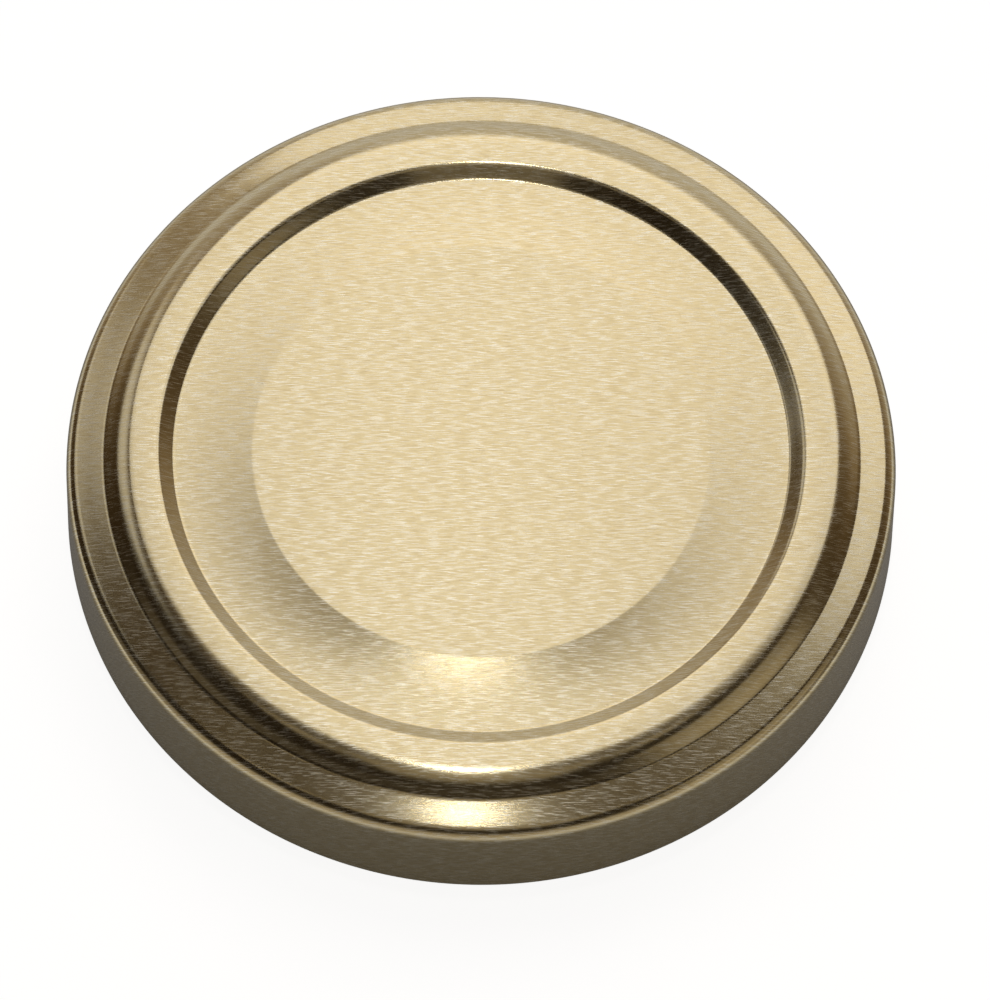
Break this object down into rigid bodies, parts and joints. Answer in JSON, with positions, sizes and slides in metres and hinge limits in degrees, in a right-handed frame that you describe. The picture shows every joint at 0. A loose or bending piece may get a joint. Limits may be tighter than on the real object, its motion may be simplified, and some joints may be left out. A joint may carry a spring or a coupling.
{
  "type": "twist-off jar lid",
  "caption": "Round gold-coloured metal twist-off lid with a recessed top panel, a raised centre, a stepped shoulder, a plain skirt, a rolled edge with lugs and a sealing ring.",
  "frame": {"origin": "centre of the circle on which the rolled edge rests, at the lid's underside", "axes": "+Z along the lid's axis, out of its top panel; +X and +Y each pass through the middle of a lug"},
  "size_m": [0.061, 0.061, 0.0101],
  "materials": {
    "gold_lacquered_tinplate": "clear gold lacquer over finely rolled tinplate, satin with a grain across the sheet",
    "sealing_compound": "flowed-in soft sealing compound, smooth and matt"
  },
  "bodies": {
    "root": {"lid_shell": "gold_lacquered_tinplate", "sealing_ring": "sealing_compound"}
  },
  "joints": []
}
